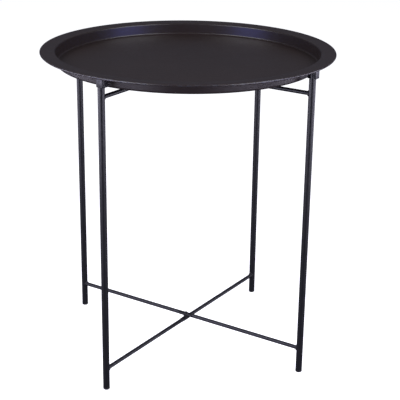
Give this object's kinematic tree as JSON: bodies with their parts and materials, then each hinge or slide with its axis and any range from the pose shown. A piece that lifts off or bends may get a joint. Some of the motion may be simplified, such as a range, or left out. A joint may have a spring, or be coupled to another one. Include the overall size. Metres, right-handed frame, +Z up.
{
  "type": "folding tray table",
  "caption": "Round metal tray that lifts off two crossed tube leg frames, which fold together about a shared vertical rivet axis.",
  "frame": {"origin": "on the floor at the middle of the table, on the fold axis", "axes": "+Z up; the inner leg frame lies along X and the outer leg frame along Y"},
  "size_m": [0.465, 0.465, 0.504],
  "materials": {
    "tray_powder_coat": "matt fine-texture black powder coat on deep-drawn steel sheet",
    "frame_powder_coat": "satin black powder coat on welded steel tube and bar",
    "clip_powder_coat": "satin black powder coat on bent steel strip",
    "end_cap_plastic": "matt black moulded polyethylene",
    "pivot_rivet_paint": "black coated steel rivet, rubbed at the crown",
    "pivot_spacer_plastic": "matt black nylon"
  },
  "bodies": {
    "outer_frame": {"outer_leg_front": "frame_powder_coat", "outer_leg_back": "frame_powder_coat", "outer_top_crossbar": "frame_powder_coat", "outer_bottom_crossbar": "frame_powder_coat", "outer_frame_welds": "frame_powder_coat", "outer_foot_front": "end_cap_plastic", "outer_foot_back": "end_cap_plastic", "outer_top_plug_front": "end_cap_plastic", "outer_top_plug_back": "end_cap_plastic", "upper_pivot_rivet": "pivot_rivet_paint", "lower_pivot_rivet": "pivot_rivet_paint", "upper_pivot_spacer": "pivot_spacer_plastic", "lower_pivot_spacer": "pivot_spacer_plastic"},
    "inner_frame": {"inner_leg_left": "frame_powder_coat", "inner_leg_right": "frame_powder_coat", "inner_top_crossbar": "frame_powder_coat", "inner_bottom_crossbar": "frame_powder_coat", "inner_frame_welds": "frame_powder_coat", "inner_foot_left": "end_cap_plastic", "inner_foot_right": "end_cap_plastic", "inner_top_plug_left": "end_cap_plastic", "inner_top_plug_right": "end_cap_plastic"},
    "tray": {"tray_pan": "tray_powder_coat", "tray_clip_front": "clip_powder_coat", "tray_clip_back": "clip_powder_coat", "tray_clip_left": "clip_powder_coat", "tray_clip_right": "clip_powder_coat", "tray_clip_welds": "clip_powder_coat"}
  },
  "joints": [
    {"name": "frame_fold", "type": "hinge", "parent": "outer_frame", "child": "inner_frame", "pos_m": [0, 0, 0.042], "axis": [0, 0, -1], "range_deg": [0, 85]},
    {"name": "tray_lift", "type": "slide", "parent": "outer_frame", "child": "tray", "axis": [0, 0, 1], "range_m": [0, 0.15]}
  ]
}
